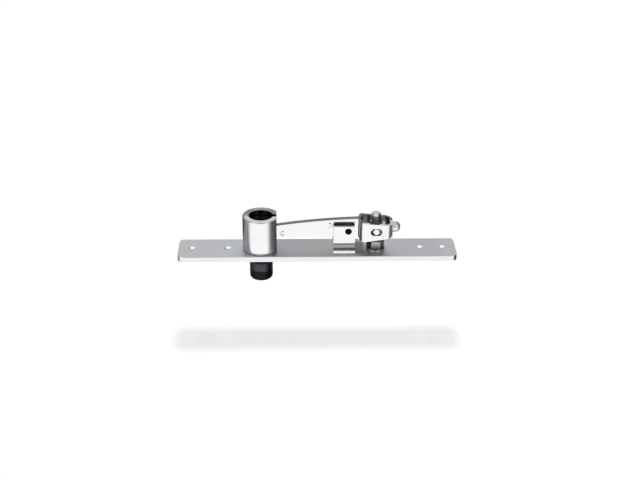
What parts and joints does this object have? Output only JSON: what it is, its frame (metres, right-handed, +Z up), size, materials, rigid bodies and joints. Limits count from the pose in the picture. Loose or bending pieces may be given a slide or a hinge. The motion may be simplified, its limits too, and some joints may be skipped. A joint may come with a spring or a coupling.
{
  "type": "pivot hinge",
  "caption": "Retractable centre-hung pivot: a long flush plate carries a tube with a sliding pin, which a walking beam draws up when the screw in the beam's forked yoke is turned.",
  "frame": {"origin": "on the pivot pin's axis, in the plane of the plate's underside", "axes": "+X along the plate from the pin to the adjusting screw, +Y across the plate, away from the viewer of the picture, +Z up, away from the pin's nose"},
  "size_m": [0.2286, 0.0318, 0.0589],
  "materials": {
    "plate": "satin zinc plate over flat steel",
    "housing": "bright plate over turned steel",
    "pin": "black oxide, lightly oiled",
    "beam": "bright zinc plate over folded sheet steel",
    "bracket": "bright zinc plate over forged steel",
    "rivets": "bright zinc plate",
    "fulcrum_pin": "black oxide",
    "small_steel": "plated, turned",
    "screw": "bright zinc plate, rolled thread",
    "nut": "bright zinc plate",
    "lock_screw": "bright plate"
  },
  "bodies": {
    "frame": {"mounting_plate": "plate", "pin_housing": "housing", "fulcrum_bracket": "bracket", "bracket_rivet_left": "rivets", "bracket_rivet_right": "rivets", "fulcrum_pin": "fulcrum_pin", "spacer_front": "small_steel", "spacer_rear": "small_steel", "thrust_washer": "small_steel"},
    "beam": {"walking_beam": "beam", "beam_rivet_left": "rivets", "beam_rivet_right": "rivets", "lock_screw": "lock_screw"},
    "pin": {"pivot_pin": "pin", "lift_pin": "pin"},
    "trunnion": {"trunnion": "small_steel"},
    "screw": {"adjusting_screw": "screw", "retaining_nut": "nut", "nut_pin": "small_steel"}
  },
  "joints": [
    {"name": "beam_pivot", "type": "hinge", "parent": "frame", "child": "beam", "pos_m": [0.0714, 0, 0.02276], "axis": [0, 1, 0], "range_deg": [0, 17]},
    {"name": "pin_slide", "type": "slide", "parent": "frame", "child": "pin", "axis": [0, 0, 1], "range_m": [0, 0.0219]},
    {"name": "trunnion_slide", "type": "slide", "parent": "frame", "child": "trunnion", "axis": [0, 0, 1], "range_m": [-0.007, 0]},
    {"name": "screw_turn", "type": "hinge", "parent": "frame", "child": "screw", "pos_m": [0.0941, 0, 0], "axis": [0, 0, 1], "range_deg": [0, 1766]}
  ],
  "couplings": [
    {"joint": "pin_slide", "follows": "beam_pivot", "m_per_rad": 0.07314},
    {"joint": "trunnion_slide", "follows": "beam_pivot", "m_per_rad": -0.0233},
    {"joint": "screw_turn", "follows": "beam_pivot", "ratio": 103.74}
  ]
}
